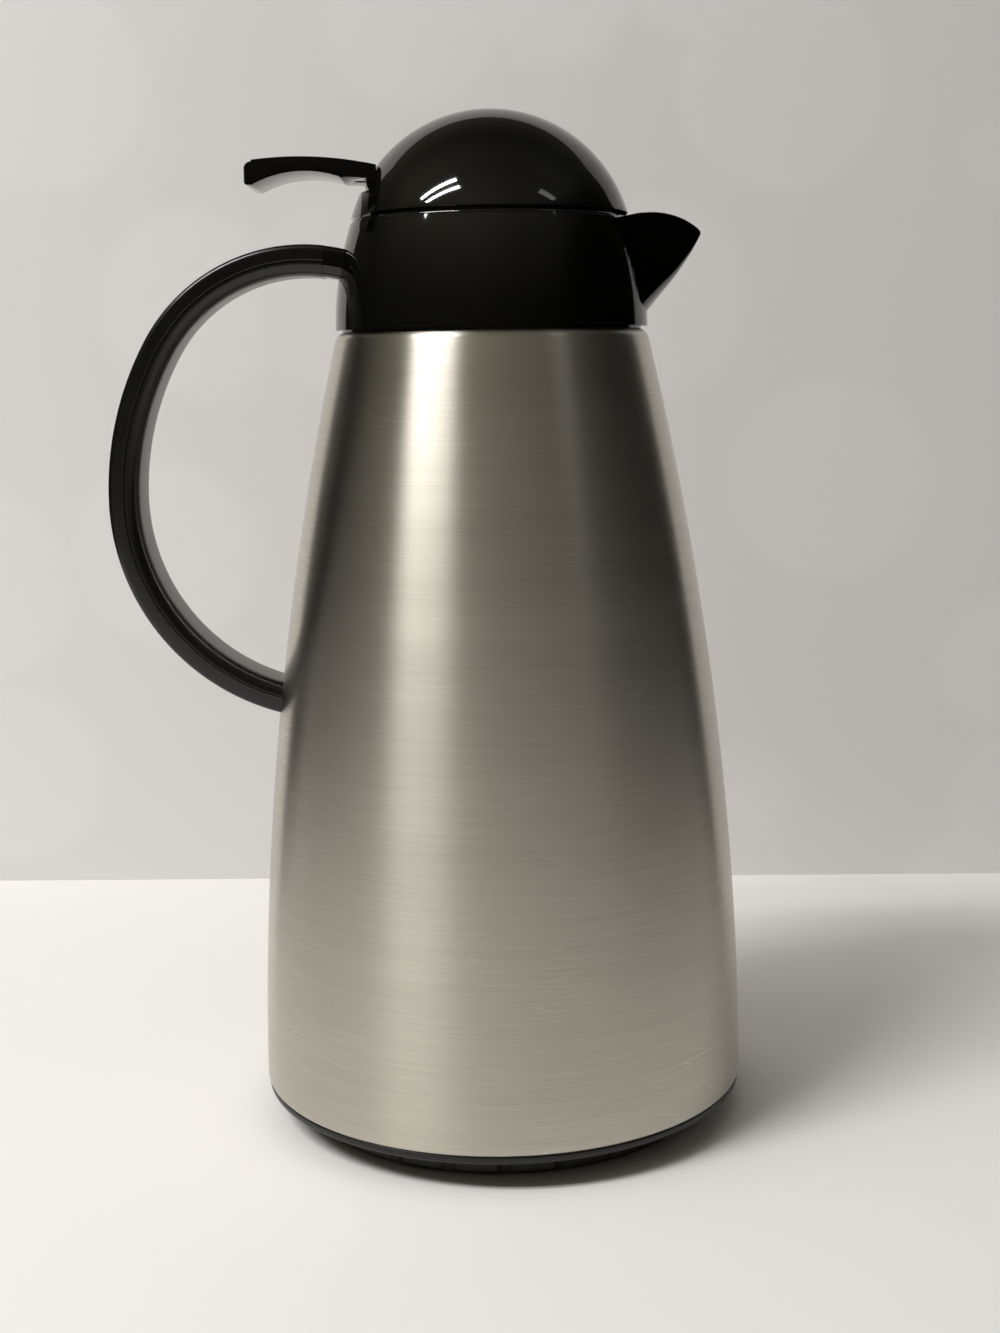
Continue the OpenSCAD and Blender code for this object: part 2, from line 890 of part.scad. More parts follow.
// Fixed part of the ball behind the lid, from the flange up to the sill
module hinge_housing() {
    difference() {
        rotate_extrude()
            difference() {
                union() {
                    ball_2d(0, seam_z, sill_z);
                    translate([0, flange_z])
                        square([flange_r, seam_z - flange_z + housing_ledge_t]);
                }
                ball_2d(skin, seam_z + housing_ledge_t, sill_z + 1);
                translate([0, flange_z - 1])
                    square([flange_r - housing_wall, seam_z - flange_z + housing_ledge_t + 1 + eps]);
            }
        translate([housing_front_x, -dome_r, 0])
            cube([2 * dome_r, 2 * dome_r, 2 * dome_c_z]);
    }
}

module ear(y) {
    translate([0, y + ear_t, 0])
        rotate([90, 0, 0])
            linear_extrude(height = ear_t)
                difference() {
                    union() {
                        translate([pin_x, pin_z])
                            circle(r = hinge_r);
                        translate([ear_back_x, flange_z + eps])
                            square([ear_front_x - ear_back_x, pin_z - flange_z]);
                        translate([ear_back_x, flange_z + eps])
                            square([ear_foot_x - ear_back_x, ear_foot_z - flange_z]);
                        // Rib to the rear wall
                        translate([-flange_r + 0.6, flange_z + eps])
                            square([flange_r - 0.6 + ear_back_x + 1, ear_foot_z - flange_z]);
                    }
                    translate([pin_x, pin_z])
                        circle(r = pin_r);
                }
}

// Web between the ears that the spring's rear leg bears on
module spring_stop() {
    translate([web_x, -ear_in - 1, flange_z + eps])
        cube([ear_foot_x - web_x, 2 * ear_in + 2, ear_foot_z - flange_z]);
}

module stopper_body() {
    color(black)
        difference() {
            union() {
                rotate_extrude() {
                    translate([port_r, flange_z])
                        square([flange_r - port_r, flange_t]);
                    translate([port_r, flange_z - port_drop])
                        square([port_wall, port_lip_z - flange_z + port_drop]);
                    translate([skirt_r - skirt_wall, flange_z - skirt_drop])
                        square([skirt_wall, skirt_drop + eps]);
                }
                hinge_housing();
                ear(ear_in);
                ear(-ear_in - ear_t);
                spring_stop();
            }
            // Lead-in of the port, so that the plug's nose swings free
            translate([0, 0, port_lip_z - 1.2])
                cylinder(r1 = port_r - eps, r2 = port_r + 1.2, h = 1.2 + eps);
        }
}

module stopper_gasket() {
    color(silicone)
        rotate_extrude()
            difference() {
                translate([neck_bore_r, shelf_top_z])
                    square([5, gasket_t]);
                translate([neck_bore_r + 5, shelf_top_z + gasket_t / 2])
                    circle(r = 0.6);
            }
}

module hinge_pin() {
    color(bright)
        translate([pin_x, pin_half, pin_z])
            rotate([90, 0, 0])
                cylinder(r = pin_r, h = 2 * pin_half);
}

// Closing spring: one tube that follows a helix on the pin, with straight legs
function spring_angle(t) = 270 - t * 360 * spring_turns;
function spring_point(t) = [
    pin_x + spring_r * cos(spring_angle(t)),
    -spring_half + 2 * spring_half * t,
    pin_z + spring_r * sin(spring_angle(t))];
// The front leg presses on the lever's tongue, the other one on the web of
// the hinge housing
coil_path = [for (i = [0 : ring_steps * spring_turns]) spring_point(i / (ring_steps * spring_turns))];
spring_path = concat(
    [spring_point(0) + [leg_front, 0, 0], spring_point(0) + [wire_d, 0, 0]],
    coil_path,
    [spring_point(1) + [0, 0, -wire_d], spring_point(1) + [0, 0, -leg_down]]);
// Least air between coils: the same place on the next turn, less the wire
coil_air = min([for (i = [0 : len(coil_path) - ring_steps - 1])
    norm(coil_path[i + ring_steps] - coil_path[i])]) - wire_d;
echo(least_gap_of_spring_mm = coil_air);

module torsion_spring() {
    n = len(spring_path);
    pts = [for (i = [0 : n - 1])
        let (
            a = spring_path[max(i - 1, 0)],
            b = spring_path[min(i + 1, n - 1)],
            t = (b - a) / norm(b - a),
            u = cross(t, [0, 1, 0]) / norm(cross(t, [0, 1, 0])),
            v = cross(t, u))
        for (k = [0 : wire_sides - 1])
            spring_path[i] + wire_d / 2 * (cos(k * 360 / wire_sides) * u + sin(k * 360 / wire_sides) * v)];
    walls = [for (i = [0 : n - 2]) for (k = [0 : wire_sides - 1]) for (h = [0, 1])
        let (
            k2 = (k + 1) % wire_sides,
            p = i * wire_sides + k,
            q = i * wire_sides + k2)
        h == 0 ? [p, p + wire_sides, q] : [q, p + wire_sides, q + wire_sides]];
    ends = concat(
        [for (k = [1 : wire_sides - 2]) [0, k, k + 1]],
        [for (k = [1 : wire_sides - 2])
            [(n - 1) * wire_sides, (n - 1) * wire_sides + k + 1, (n - 1) * wire_sides + k]]);
    color(bright)
        polyhedron(points = pts, faces = concat(walls, ends));
}

// ---------- lid ----------

// Cylinder on the pin's line, to both sides of the middle
module along_pin(r, half) {
    translate([pin_x, half, pin_z])
        rotate([90, 0, 0])
            cylinder(r = r, h = 2 * half);
}

// Everything behind the lid's upright cut face
module behind_cut(x) {
    translate([x - 2 * dome_r, -2 * dome_r, 0])
        cube([2 * dome_r, 4 * dome_r, 2 * dome_c_z]);
}

module lid_dome() {
    color(black)
        difference() {
            union() {
                difference() {
                    translate([0, 0, dome_c_z])
                        sphere(r = dome_r);
                    translate([0, 0, seam_z - 2 * dome_r])
                        cylinder(r = 2 * dome_r, h = 2 * dome_r);
                }
                translate([0, 0, lip_z])
                    cylinder(r = lip_r, h = 3);
            }
            difference() {
                translate([0, 0, dome_c_z])
                    sphere(r = dome_r - dome_wall);
                translate([0, 0, lip_top_z - 2 * dome_r])
                    cylinder(r = 2 * dome_r, h = 2 * dome_r);
            }
            translate([0, 0, lip_z - 1])
                cylinder(r = lip_r - lip_wall, h = lip_top_z - lip_z + 1 + eps);
            behind_cut(cut_x);
            along_pin(hinge_r + hinge_room, hub_out + lid_gap);
        }
}

module lid_plate() {
    color(satin_black)
        difference() {
            union() {
                translate([0, 0, plate_z])
                    cylinder(r = plate_r, h = plate_t);
                // Socket of the plug's stem
                translate([0, 0, plate_z])
                    cylinder(r = stem_r + 2, h = plate_t + 3);
                // Landing for the lever's tongue
                translate([tongue_back_x + 4, -hub_out, plate_z])
                    cube([tongue_end_x - tongue_back_x - 4, 2 * hub_out, tongue_z - plate_z]);
                // Stiffening ribs
                for (a = [30, 90, -30, -90])
                    rotate([0, 0, a])
                        translate([stem_r + 1, -0.8, plate_z])
                            cube([plate_r - stem_r - 3, 1.6, plate_t + 1.6]);
            }
            translate([0, 0, plate_z - 1])
                cylinder(r = stem_r - 1.5, h = plate_t + 6);
            behind_cut(cut_x);
            translate([plate_cut_x - 2 * dome_r, -plate_cut_half, plate_z - 1])
                cube([2 * dome_r, 2 * plate_cut_half, 12]);
            for (s = [-1, 1])
                translate([lever_screw_x, s * lever_screw_y, plate_z - 1])
                    cylinder(r = screw_r + 0.2, h = 12);
        }
}

// Side outline of the lever, from its tip to the cut face of the dome
module lever_side_2d() {
    tip_x = -lever_reach;
    tip_top_z = lever_crown_z - lever_top_r + sqrt(pow(lever_top_r, 2) - pow(tip_x - lever_crown_x, 2));
    intersection() {
        difference() {
            polygon([
                [tip_x, lever_tip_z],
                [lever_bend_x, lever_tip_z],
                [lever_bend_x, lever_bend_z],
                [housing_front_x, lever_root_z],
                [housing_front_x, lever_crown_z + 1],
                [tip_x, lever_crown_z + 1],
            ]);
            // Hollow of the underside
            translate([lever_hollow_x, lever_hollow_z - lever_hollow_r])
                circle(r = lever_hollow_r, $fn = fine_fn);
            translate([tip_x, tip_top_z])
                mirror([1, 0])
                    corner_cut(lever_tip_round);
            translate([tip_x, lever_tip_z])
                rotate([0, 0, 180])
                    corner_cut(lever_tip_round / 2);
        }
        // Crowned top
        translate([lever_crown_x, lever_crown_z - lever_top_r])
            circle(r = lever_top_r, $fn = fine_fn);
    }
}

// Plan outline of the lever: root as wide as the notch, flared thumb pad
module lever_plan_2d() {
    difference() {
        polygon([
            [cut_x, -lever_root_half_w],
            [cut_x, lever_root_half_w],
            [lever_crown_x, lever_pad_half_w],
            [-lever_reach, lever_pad_half_w],
            [-lever_reach, -lever_pad_half_w],
            [lever_crown_x, -lever_pad_half_w],
        ]);
        for (s = [0, 1])
            mirror([0, s])
                translate([-lever_reach, lever_pad_half_w])
                    mirror([1, 0])
                        corner_cut(lever_corner_r);
    }
}

module lever_blade() {
    intersection() {
        translate([0, 40, 0])
            rotate([90, 0, 0])
                linear_extrude(height = 80)
                    lever_side_2d();
        translate([0, 0, pin_z - 10])
            linear_extrude(height = 40)
                lever_plan_2d();
    }
}

// Heels behind the lid's cut face: cones about the pin that swing clear of
// the fixed skin
module lever_heel() {
    difference() {
        for (s = [0, 1])
            mirror([0, s, 0])
                translate([pin_x, hub_in, pin_z])
                    rotate([-90, 0, 0])
                        cylinder(r1 = heel_r(hub_in), r2 = heel_r(heel_out), h = heel_out - hub_in);
        translate([housing_front_x, -heel_out - 1, pin_z - 10])
            cube([20, 2 * heel_out + 2, 20]);
        translate([-lever_reach, -heel_out - 1, lever_root_z + 1])
            cube([lever_reach, 2 * heel_out + 2, 20]);
    }
}

// Hubs on the pin, arms down from them and the tongue that carries the lid
module lever_hubs() {
    for (s = [0, 1])
        mirror([0, s, 0]) {
            translate([pin_x, hub_in, pin_z])
                rotate([-90, 0, 0])
                    cylinder(r = hinge_r, h = hub_out - hub_in);
            translate([pin_x, hub_in, tongue_z])
                cube([tongue_back_x - pin_x + 2, hub_out - hub_in, pin_z - tongue_z - 1]);
        }
    translate([tongue_back_x, -hub_out, tongue_z])
        cube([tongue_end_x - tongue_back_x, 2 * hub_out, tongue_t]);
    // Pad under the spring's front leg
    translate([leg_pad_x, -ear_in, tongue_z])
        cube([3, 2 * ear_in, leg_pad_top_z - tongue_z]);
}

module thumb_lever() {
    color(black)
        difference() {
            union() {
                lever_blade();
                lever_heel();
                lever_hubs();
            }
            along_pin(pin_r + pin_fit, heel_out + 1);
            // Room for the ears and the spring
            along_pin(hinge_r + hinge_room, hub_in);
            // Round pocket in the underside, behind the heels
            translate([dimple_x, 0, lever_root_z - 1])
                cylinder(r = dimple_r, h = 1 + dimple_depth);
            for (s = [-1, 1])
                translate([lever_screw_x, s * lever_screw_y, tongue_z - 1])
                    cylinder(r = screw_r, h = tongue_t + 2);
        }
}

module lever_screws() {
    color(bright)
        for (s = [-1, 1])
            translate([lever_screw_x, s * lever_screw_y, tongue_z + tongue_t])
                rotate([180, 0, 0])
                    pan_screw(tongue_z + tongue_t - plate_z - 0.2);
}

module seal_plug() {
    color(satin_black)
        rotate_extrude()
            difference() {
                union() {
                    translate([0, plug_z])
                        square([plug_r, plug_t]);
                    // Stem that snaps into the lid plate
                    translate([0, plug_z])
                        square([stem_r, plate_z - plug_z]);
                    translate([0, plug_z])
                        square([stem_r - 1.6, plate_z + plate_t + 3.4 - plug_z]);
                    // Nose that enters the port
                    polygon([
                        [0, port_lip_z - nose_drop],
                        [nose_r - 1.6, port_lip_z - nose_drop],
                        [plug_core_r, port_lip_z],
                        [plug_core_r, plug_z + eps],
                        [0, plug_z + eps],
                    ]);
                }
                translate([plug_r, plug_z + plug_t])
                    corner_cut(0.8);
                translate([0, plug_z + 1])
                    square([stem_r - 3.4, plate_z + 10 - plug_z]);
            }
}

module plug_seal() {
    color(silicone)
        rotate_extrude()
            translate([plug_core_r, seal_z])
                square([plug_r - plug_core_r - 0.2, seal_t]);
}

outer_shell();
base_ring();
base_cap();
foot_pad();
liner_outer_wall();
liner_inner_wall();
liner_spacers();
liner_cushion();
neck_gasket();
clamp_ring();
collar();
handle_outer();
handle_inner();
handle_screws();
stopper_body();
stopper_gasket();
hinge_pin();
torsion_spring();
lid_dome();
lid_plate();
thumb_lever();
lever_screws();
seal_plug();
plug_seal();
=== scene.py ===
import json
import math

import bmesh
import bpy
from mathutils import Matrix, Vector


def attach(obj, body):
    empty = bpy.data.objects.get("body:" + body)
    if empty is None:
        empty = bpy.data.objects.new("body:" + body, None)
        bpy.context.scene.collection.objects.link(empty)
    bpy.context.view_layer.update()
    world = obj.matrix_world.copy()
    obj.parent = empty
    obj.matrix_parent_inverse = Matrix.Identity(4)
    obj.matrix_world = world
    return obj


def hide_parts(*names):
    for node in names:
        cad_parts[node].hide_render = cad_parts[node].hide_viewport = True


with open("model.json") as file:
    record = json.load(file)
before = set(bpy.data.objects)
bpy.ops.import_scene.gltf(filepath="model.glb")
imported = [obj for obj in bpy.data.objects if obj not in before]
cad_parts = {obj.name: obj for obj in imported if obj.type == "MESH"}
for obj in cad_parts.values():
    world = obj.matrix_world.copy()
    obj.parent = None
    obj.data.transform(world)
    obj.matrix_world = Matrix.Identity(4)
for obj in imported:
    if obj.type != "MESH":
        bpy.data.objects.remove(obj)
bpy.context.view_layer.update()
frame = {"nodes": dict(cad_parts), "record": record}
scene = bpy.context.scene
MM = 0.001

# ---------- sizes of the part, in mm ----------

BASE_R = 71.0
SHELL_TOP = 228.0
SHELL_TOP_R = 43.9
SHELL_FOOT = 10.9
SHEET = 0.5
SHELL_ROLL = 3.0
SHELL_HOLE_R = 38.5
HEM = 1.9
BELL_DROP = BASE_R - SHELL_TOP_R
BELL_R = (SHELL_TOP**2 + BELL_DROP**2) / (2 * BELL_DROP)
BELL_X = BASE_R - BELL_R

RING_FOOT = 8.5
RING_R = 70.5
RING_BORE = 62.4
RING_TOP = 21.5
# The ring's upstanding clip goes up inside the shell's hem
CLIP_OUT_R, CLIP_IN_R, CLIP_TOP = 68.9, 66.9, 17.9
LEDGE_R = 64.9

COLLAR_H = 30.9
COLLAR_FOOT_R = 44.2
COLLAR_TOP_R = 38.9
COLLAR_TOP = SHELL_TOP + COLLAR_H
COLLAR_DROP = COLLAR_FOOT_R - COLLAR_TOP_R
COLLAR_BOW = (COLLAR_H**2 + COLLAR_DROP**2) / (2 * COLLAR_DROP)
COLLAR_WALL = 2.4
SHELF, SHELF_T = SHELL_TOP + 10, 3

SEAM = 259.5
DOME_R = 40.5
DOME_Z = SEAM - math.sqrt(DOME_R**2 - COLLAR_TOP_R**2)
DOME_WALL = 2.2
LIP_R, LIP_H, LIP_WALL, LIP_ROOT = 36.2, 1.8, 1.4, 2.6
PIN_X, PIN_Z = -29.5, 269.0
PIN_ROOM_R, PIN_ROOM_W = 3.6, 16.6
CUT_X = PIN_X - 1.1

HANDLE_REACH = 109.5
HANDLE_LOW_R, HANDLE_SIDE_R, HANDLE_TOP_R = 63.5, 90.0, 51.898
HANDLE_SIDE_ANGLE = 30.0
HANDLE_CREST = SHELL_TOP + 24.4
HANDLE_HALF = 10.0
HANDLE_OUTER_T, HANDLE_INNER_T = 4.4, 4.2
BACK_ROUND, GRIP_ROUND = 1.5, 3.6
# The grip half is a little narrower, and both halves are bevelled at the joint line
GRIP_STEP, JOINT_BEVEL = 0.25, 0.3
# Centres of the hoop's side arc and top arc
ARC_STEP = HANDLE_SIDE_R - HANDLE_TOP_R
SIDE_CX = -HANDLE_REACH + HANDLE_SIDE_R
TOP_CX = SIDE_CX - ARC_STEP * math.cos(math.radians(HANDLE_SIDE_ANGLE))
TOP_CZ = HANDLE_CREST - HANDLE_TOP_R
SIDE_CZ = TOP_CZ - ARC_STEP * math.sin(math.radians(HANDLE_SIDE_ANGLE))
LOW_SWEEP = 76
# Angles on the top arc where the hoop meets the collar's socket, and where the socket ends in the wall
HOOP_END, SOCKET_FROM, SOCKET_TO = 82.8, 82.6, 75.0
# The socket's section is this much smaller all round, so that the hoop covers its end
SOCKET_FIT = 0.06

# The lever's overhang starts at its root; its tip is drawn in and up to the outline in the photo
LEVER_ROOT, LEVER_TIP = -36.0, -68.3
LEVER_DRAW_IN, LEVER_DRAW_UP = 1.1, 0.7
LEVER_ROUND = 1.1


# ---------- materials ----------

def linear(hex_colour):
    """sRGB hex to linear RGBA."""
    parts = [int(hex_colour[i : i + 2], 16) / 255 for i in (1, 3, 5)]
    return (*[c / 12.92 if c <= 0.04045 else ((c + 0.055) / 1.055) ** 2.4 for c in parts], 1.0)


def shade(hex_colour, factor):
    """A colour made darker or paler."""
    return (*[c * factor for c in linear(hex_colour)[:3]], 1.0)


def add(tree, kind, inputs=None, stops=(), **settings):
    """Adds a node with its settings; an input is a value or another node's output, a stop a ramp's place and colour."""
    node = tree.nodes.new("ShaderNode" + kind)
    for i, (place, colour) in enumerate(stops):
        element = node.color_ramp.elements[i] if i < 2 else node.color_ramp.elements.new(place)
        element.position = place
        element.color = colour
    for name, value in settings.items():
        setattr(node, name, value)
    for socket, value in (inputs or {}).items():
        if isinstance(value, bpy.types.NodeSocket):
            tree.links.new(value, node.inputs[socket])
        else:
            node.inputs[socket].default_value = value
    return node


def new_material(name):
    """An empty material: its tree, its object coordinates and its output."""
    mat = bpy.data.materials.new(name)
    mat.use_nodes = True
    mat.node_tree.nodes.clear()
    tree = mat.node_tree
    return mat, tree, add(tree, "TexCoord").outputs["Object"], add(tree, "OutputMaterial")


def grey(value):
    """A neutral linear colour."""
    return (value, value, value, 1.0)


def brushed_stainless():
    """Drawn 18/10 stainless sheet, brushed round the bell with an abrasive belt:
    fine level lines that smear every reflection up and down, so lamps show as
    tall soft bands, with a few longer scratches and a faint warm tint."""
    mat, tree, place, out = new_material("stainless_sheet_belt_brushed")
    # Belt lines 0.5 mm apart and about 40 mm long; real grit is finer, this is what a photo shows
    lines = add(tree, "Mapping", {"Vector": place, "Scale": (24, 24, 2000)})
    fine = add(tree, "TexNoise", {"Vector": lines.outputs[0], "Scale": 1.0, "Detail": 3.0, "Roughness": 0.6})
    # Wider bands, 12 mm high, where the belt pressed harder
    bands = add(tree, "Mapping", {"Vector": place, "Scale": (5, 5, 80)})
    broad = add(tree, "TexNoise", {"Vector": bands.outputs[0], "Scale": 1.0, "Detail": 2.0})
    # Handling marks: thin slanted scratches, few and faint
    slant = add(tree, "Mapping", {"Vector": place, "Rotation": (0.5, 0.3, 0.9), "Scale": (18, 18, 420)})
    marks = add(tree, "TexVoronoi", {"Vector": slant.outputs[0], "Scale": 1.0}, feature="DISTANCE_TO_EDGE")
    thin = add(tree, "MapRange", {"Value": marks.outputs["Distance"], "From Min": 0.0, "From Max": 0.012,
                                  "To Min": 1.0, "To Max": 0.0})
    patch = add(tree, "TexNoise", {"Vector": place, "Scale": 26.0, "Detail": 1.0})
    seldom = add(tree, "MapRange", {"Value": patch.outputs["Fac"], "From Min": 0.58, "From Max": 0.66,
                                    "To Min": 0.0, "To Max": 1.0})
    scratch = add(tree, "Math", {0: thin.outputs[0], 1: seldom.outputs[0]}, operation="MULTIPLY")
    tint = add(tree, "ValToRGB", {"Fac": fine.outputs["Fac"]},
               stops=[(0.3, linear("#beb9ae")), (0.7, linear("#c9c4b9"))])
    worn = add(tree, "MixRGB", {"Fac": scratch.outputs[0], "Color1": tint.outputs[0], "Color2": linear("#e2ddd2")})
    rough = add(tree, "MapRange", {"Value": broad.outputs["Fac"], "From Min": 0.3, "From Max": 0.7,
                                   "To Min": 0.31, "To Max": 0.335})
    height = add(tree, "Math", {0: fine.outputs["Fac"], 1: scratch.outputs[0]}, operation="SUBTRACT")
    bump = add(tree, "Bump", {"Height": height.outputs[0], "Strength": 0.05, "Distance": 0.0001})
    ring = add(tree, "Tangent", direction_type="RADIAL", axis="Z")
    shader = add(tree, "BsdfPrincipled", {
        "Base Color": worn.outputs[0], "Metallic": 1.0, "Roughness": rough.outputs[0],
        "Anisotropic": 0.92, "Anisotropic Rotation": 0.25,
        "Normal": bump.outputs[0], "Tangent": ring.outputs[0]})
    tree.links.new(shader.outputs[0], out.inputs["Surface"])
    return mat


def moulded_plastic(name, colour, rough, grain_mm, grain_depth, smudge=0.04):
    """Injection moulded plastic: the skin of the mould as a fine grain or an
    orange peel, and a haze of handling that changes the gloss in soft patches."""
    mat, tree, place, out = new_material(name)
    haze = add(tree, "TexNoise", {"Vector": place, "Scale": 42.0, "Detail": 4.0, "Roughness": 0.6})
    gloss = add(tree, "MapRange", {"Value": haze.outputs["Fac"], "From Min": 0.35, "From Max": 0.75,
                                   "To Min": rough, "To Max": rough + smudge})
    skin = add(tree, "TexNoise", {"Vector": place, "Scale": 1.0 / (grain_mm * MM), "Detail": 2.0})
    bump = add(tree, "Bump", {"Height": skin.outputs["Fac"], "Strength": 0.3, "Distance": grain_depth * MM})
    tone = add(tree, "MixRGB", {"Fac": haze.outputs["Fac"], "Color1": shade(colour, 0.85),
                                "Color2": shade(colour, 1.15)})
    shader = add(tree, "BsdfPrincipled", {
        "Base Color": tone.outputs[0], "Roughness": gloss.outputs[0], "Normal": bump.outputs[0]})
    tree.links.new(shader.outputs[0], out.inputs["Surface"])
    return mat


def silvered_glass():
    """Borosilicate glass with a chemical silver coat behind it: a mirror with
    faint run marks of the silvering bath."""
    mat, tree, place, out = new_material("glass_silvered")
    runs = add(tree, "Mapping", {"Vector": place, "Scale": (90, 90, 14)})
    bath = add(tree, "TexNoise", {"Vector": runs.outputs[0], "Scale": 1.0, "Detail": 3.0})
    tint = add(tree, "ValToRGB", {"Fac": bath.outputs["Fac"]},
               stops=[(0.3, linear("#cfd3d8")), (0.75, linear("#e4e6e9"))])
    rough = add(tree, "MapRange", {"Value": bath.outputs["Fac"], "To Min": 0.02, "To Max": 0.09})
    shader = add(tree, "BsdfPrincipled", {
        "Base Color": tint.outputs[0], "Metallic": 1.0, "Roughness": rough.outputs[0],
        "Coat Weight": 1.0, "Coat Roughness": 0.02})
    tree.links.new(shader.outputs[0], out.inputs["Surface"])
    return mat


def zinc_plated_steel():
    """Zinc plated steel wire and screws: bright, slightly milky metal."""
    mat, tree, place, out = new_material("steel_zinc_plated")
    bloom = add(tree, "TexNoise", {"Vector": place, "Scale": 700.0, "Detail": 3.0})
    tint = add(tree, "ValToRGB", {"Fac": bloom.outputs["Fac"]},
               stops=[(0.3, linear("#9fa0a4")), (0.7, linear("#c3c4c8"))])
    rough = add(tree, "MapRange", {"Value": bloom.outputs["Fac"], "To Min": 0.2, "To Max": 0.38})
    shader = add(tree, "BsdfPrincipled", {
        "Base Color": tint.outputs[0], "Metallic": 1.0, "Roughness": rough.outputs[0]})
    tree.links.new(shader.outputs[0], out.inputs["Surface"])
    return mat


def soft_rubber(name, colour, rough, pit_mm):
    """Compression moulded rubber or silicone: dull, with a fine pitted skin."""
    mat, tree, place, out = new_material(name)
    pits = add(tree, "TexNoise", {"Vector": place, "Scale": 1.0 / (pit_mm * MM), "Detail": 4.0})
    tint = add(tree, "ValToRGB", {"Fac": pits.outputs["Fac"]}, stops=[(0.3, shade(colour, 0.8)), (0.8, linear(colour))])
    bump = add(tree, "Bump", {"Height": pits.outputs["Fac"], "Strength": 0.4, "Distance": 0.0001})
    shader = add(tree, "BsdfPrincipled", {
        "Base Color": tint.outputs[0], "Roughness": rough, "Sheen Weight": 0.05, "Normal": bump.outputs[0]})
    tree.links.new(shader.outputs[0], out.inputs["Surface"])
    return mat


def pressed_felt():
    """Pressed mineral felt between the glass walls: matt, with short fibres."""
    mat, tree, place, out = new_material("felt_pressed")
    hair = add(tree, "Mapping", {"Vector": place, "Scale": (900, 2600, 900)})
    fibre = add(tree, "TexNoise", {"Vector": hair.outputs[0], "Scale": 1.0, "Detail": 5.0})
    tint = add(tree, "ValToRGB", {"Fac": fibre.outputs["Fac"]},
               stops=[(0.3, linear("#cfc8b8")), (0.7, linear("#eee9dd"))])
    bump = add(tree, "Bump", {"Height": fibre.outputs["Fac"], "Strength": 0.8, "Distance": 0.0003})
    shader = add(tree, "BsdfPrincipled", {
        "Base Color": tint.outputs[0], "Roughness": 0.95, "Sheen Weight": 0.3, "Normal": bump.outputs[0]})
    tree.links.new(shader.outputs[0], out.inputs["Surface"])
    return mat


STEEL = brushed_stainless()
# Polished mould: deep black mirror with a trace of orange peel and wiped haze
GLOSS = moulded_plastic("abs_polished_black", "#050504", 0.03, 3.0, 0.003, smudge=0.06)
# Satin mould: broad soft highlights along the hoop
SATIN = moulded_plastic("pp_satin_black", "#070707", 0.22, 0.5, 0.006, smudge=0.05)
# Spark eroded mould: dull black that still shows a grey line on its edge
MATT = moulded_plastic("pp_matt_black", "#0c0c0d", 0.4, 0.35, 0.03)
INNER = moulded_plastic("pp_inner_black", "#1a1a1b", 0.38, 0.6, 0.02)
RUBBER = soft_rubber("rubber_moulded_black", "#1e1e1f", 0.8, 0.4)
SILICONE = soft_rubber("silicone_moulded_natural", "#c9c5ba", 0.5, 0.6)
GLASS = silvered_glass()
ZINC = zinc_plated_steel()
FELT = pressed_felt()
SLOT_FINISH = {
    "shell_steel": STEEL, "gloss_black": GLOSS, "handle_black": SATIN, "base_plastic": MATT,
    "inner_plastic": INNER, "foot_rubber": RUBBER, "seal_silicone": SILICONE, "spacer_felt": FELT,
    "flask_glass": GLASS, "screw_steel": ZINC,
}
NODE_SLOT = {row["node"]: row["material_slot"] for row in frame["record"]["subparts"]}
NODE_BODY = {node: body for body, nodes in frame["record"]["behaviour"]["bodies"].items() for node in nodes}


# ---------- making pieces ----------

def arc(cx, cz, r, start, end, steps):
    """Points (x, z) along an arc; angles in degrees from +X towards +Z."""
    return [(cx + r * math.cos(math.radians(start + (end - start) * i / steps)),
             cz + r * math.sin(math.radians(start + (end - start) * i / steps))) for i in range(steps + 1)]


def bell_r_at(z, inset=0.0):
    return BELL_X + math.sqrt((BELL_R - inset) ** 2 - z * z)


def collar_r_at(z, inset=0.0):
    return COLLAR_FOOT_R - COLLAR_BOW + math.sqrt((COLLAR_BOW - inset) ** 2 - (z - SHELL_TOP) ** 2)


def spun(profile, steps, closed=True):
    """A half section (r, z) spun once about the body's axis. An open profile starts and ends on the axis."""
    bm = bmesh.new()
    verts = [bm.verts.new((r * MM, 0, z * MM)) for r, z in profile]
    edges = [bm.edges.new(pair) for pair in zip(verts, verts[1:] + verts[:1] if closed else verts[1:])]
    bmesh.ops.spin(bm, geom=verts + edges, cent=(0, 0, 0), axis=(0, 0, 1),
                   angle=2 * math.pi, steps=steps, use_merge=True)
    bmesh.ops.remove_doubles(bm, verts=bm.verts, dist=1e-7)
    bmesh.ops.recalc_face_normals(bm, faces=bm.faces)
    return bm


def merged_copy(node):
    """A CAD node's loose triangles merged into one closed mesh with its flats joined."""
    bm = bmesh.new()
    bm.from_mesh(frame["nodes"][node].data)
    bmesh.ops.remove_doubles(bm, verts=bm.verts, dist=2e-6)
    bmesh.ops.dissolve_limit(bm, angle_limit=math.radians(0.05), verts=bm.verts, edges=bm.edges)
    return bm


def round_edges(bm, width, where):
    """Rounds the edges sharper than 40 degrees whose middle point, in mm, the test accepts."""
    chosen = [e for e in bm.edges if len(e.link_faces) == 2
              and e.calc_face_angle(0) > math.radians(40) and where((e.verts[0].co + e.verts[1].co) / 2 / MM)]
    bmesh.ops.bevel(bm, geom=chosen, affect="EDGES", offset=width * MM, offset_type="OFFSET", segments=5,
                    profile=0.5, material=-1, clamp_overlap=True)


